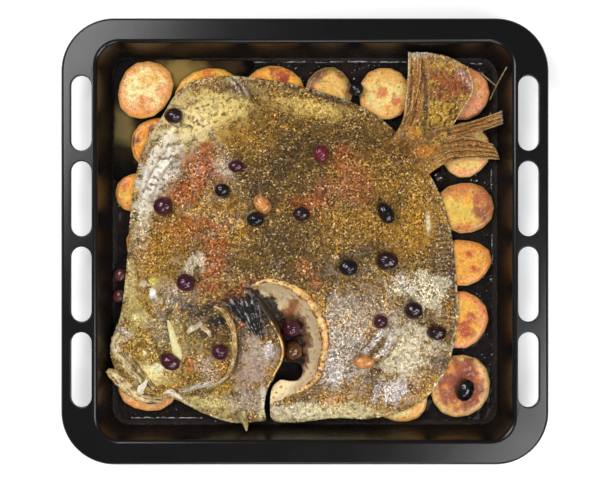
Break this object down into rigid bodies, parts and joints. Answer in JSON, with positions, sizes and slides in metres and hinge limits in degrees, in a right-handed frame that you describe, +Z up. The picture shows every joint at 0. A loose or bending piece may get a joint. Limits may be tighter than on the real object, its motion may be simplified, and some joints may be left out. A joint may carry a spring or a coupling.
{
  "type": "baked whole turbot in its oven tray",
  "caption": "Whole turbot baked dark side up on potato slices with olives, in a black enamelled oven tray with grip slots in its flange.",
  "frame": {"origin": "middle of the tray's underside, on the surface it stands on", "axes": "+Z up, +X from the fish's head to its tail along the tray's long side, +Y from its belly to its back"},
  "size_m": [0.45, 0.412, 0.0523],
  "materials": {
    "enamel": "black vitreous enamel on pressed steel, glossy, with baked-on juice",
    "turbot_skin": "baked oily skin, olive brown mottled black and cream, browned orange in patches",
    "baked_potato": "roasted potato face, golden yellow with orange brown rim and burnt spots",
    "olive": "oily wrinkled olive skin, purple black",
    "pan_juices": "thin oily brown yellow juice",
    "dried_herb": "dry grey brown herb stem"
  },
  "bodies": {
    "root": {"oven_tray": "enamel", "turbot": "turbot_skin", "potato_slice_01": "baked_potato", "potato_slice_02": "baked_potato", "potato_slice_03": "baked_potato", "potato_slice_04": "baked_potato", "potato_slice_05": "baked_potato", "potato_slice_06": "baked_potato", "potato_slice_07": "baked_potato", "potato_slice_08": "baked_potato", "potato_slice_09": "baked_potato", "potato_slice_10": "baked_potato", "potato_slice_11": "baked_potato", "potato_slice_12": "baked_potato", "potato_slice_13": "baked_potato", "potato_slice_14": "baked_potato", "potato_slice_15": "baked_potato", "potato_slice_16": "baked_potato", "olive_01": "olive", "olive_02": "olive", "olive_03": "olive", "olive_04": "olive", "olive_05": "olive", "olive_06": "olive", "olive_07": "olive", "olive_08": "olive", "olive_09": "olive", "olive_10": "olive", "olive_11": "olive", "olive_12": "olive", "olive_13": "olive", "olive_14": "olive", "olive_15": "olive", "olive_16": "olive", "olive_17": "olive", "olive_18": "olive", "olive_19": "olive", "olive_20": "olive", "olive_21": "olive", "olive_22": "olive", "olive_23": "olive", "olive_24": "olive", "olive_25": "olive", "pan_juices": "pan_juices", "herb_stem": "dried_herb"}
  },
  "joints": []
}
